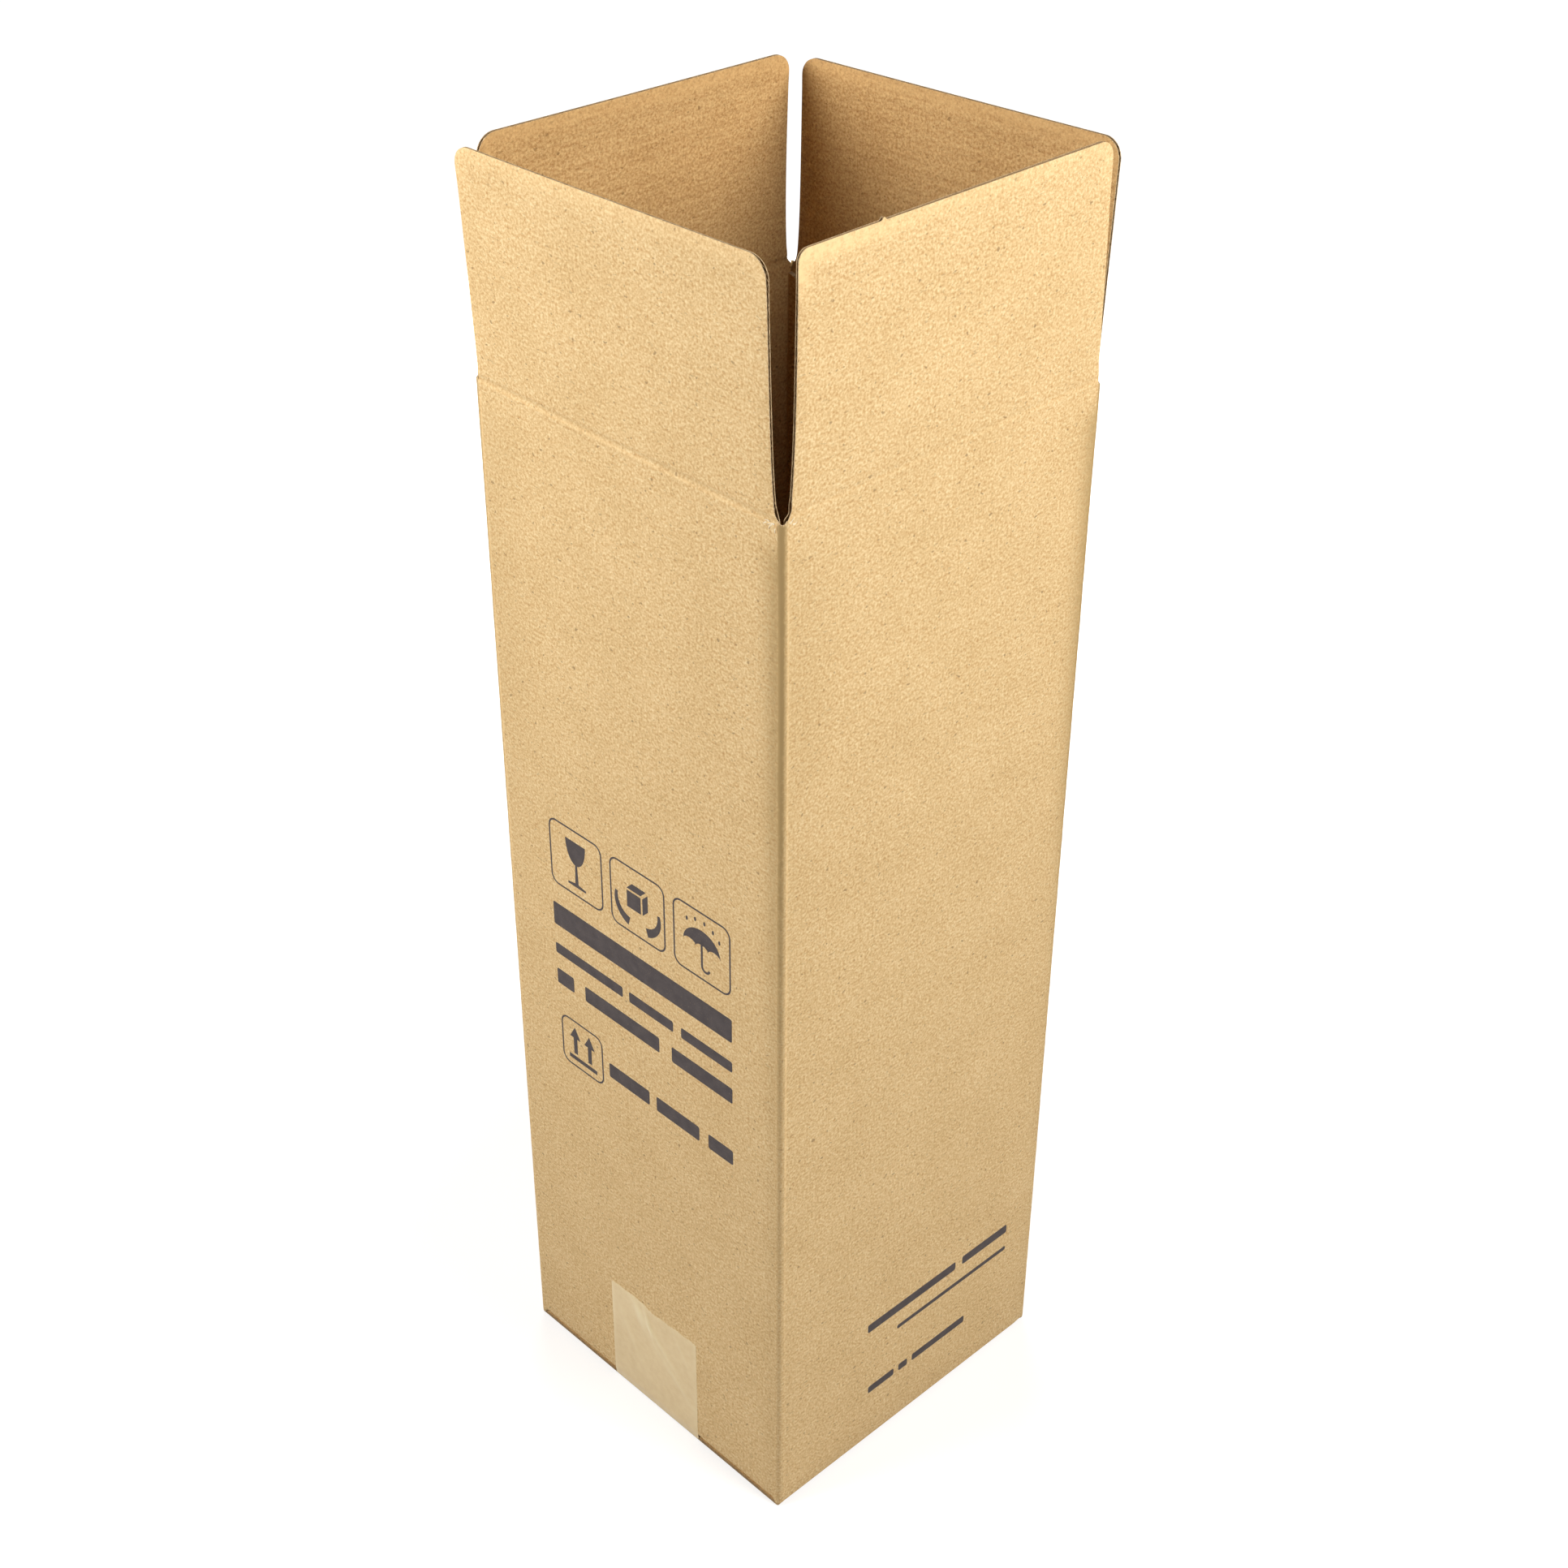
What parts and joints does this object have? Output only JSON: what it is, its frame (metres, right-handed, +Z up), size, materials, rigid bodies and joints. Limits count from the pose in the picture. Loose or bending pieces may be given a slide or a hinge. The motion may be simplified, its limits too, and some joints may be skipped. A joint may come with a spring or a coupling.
{
  "type": "bottle shipping box",
  "caption": "Tall square corrugated carton for posting one bottle, top flaps open with rounded corners, bottom flaps folded in and closed with a strip of packing tape.",
  "frame": {"origin": "on the floor under the middle of the box, on the underside of the tape", "axes": "+Z up along the tall walls; -Y out of the taped and printed front panel; +X out of the right panel"},
  "size_m": [0.1312, 0.137, 0.458],
  "materials": {
    "kraft_board": "matte kraft paper with fine fibres",
    "packing_tape": "semi-gloss tan film"
  },
  "bodies": {
    "carton": {"carton_body": "kraft_board", "bottom_tape": "packing_tape"},
    "front_flap": {"top_flap_front": "kraft_board"},
    "back_flap": {"top_flap_back": "kraft_board"},
    "left_flap": {"top_flap_left": "kraft_board"},
    "right_flap": {"top_flap_right": "kraft_board"}
  },
  "joints": [
    {"name": "front_crease", "type": "hinge", "parent": "carton", "child": "front_flap", "pos_m": [0, -0.065, 0.385], "axis": [-1, 0, 0], "range_deg": [-162, 95.1]},
    {"name": "back_crease", "type": "hinge", "parent": "carton", "child": "back_flap", "pos_m": [0, 0.065, 0.385], "axis": [1, 0, 0], "range_deg": [-162.5, 92.5]},
    {"name": "left_crease", "type": "hinge", "parent": "carton", "child": "left_flap", "pos_m": [-0.065, 0, 0.3869], "axis": [0, 1, 0], "range_deg": [-166, 89]},
    {"name": "right_crease", "type": "hinge", "parent": "carton", "child": "right_flap", "pos_m": [0.065, 0, 0.3869], "axis": [0, -1, 0], "range_deg": [-164, 88.9]}
  ]
}
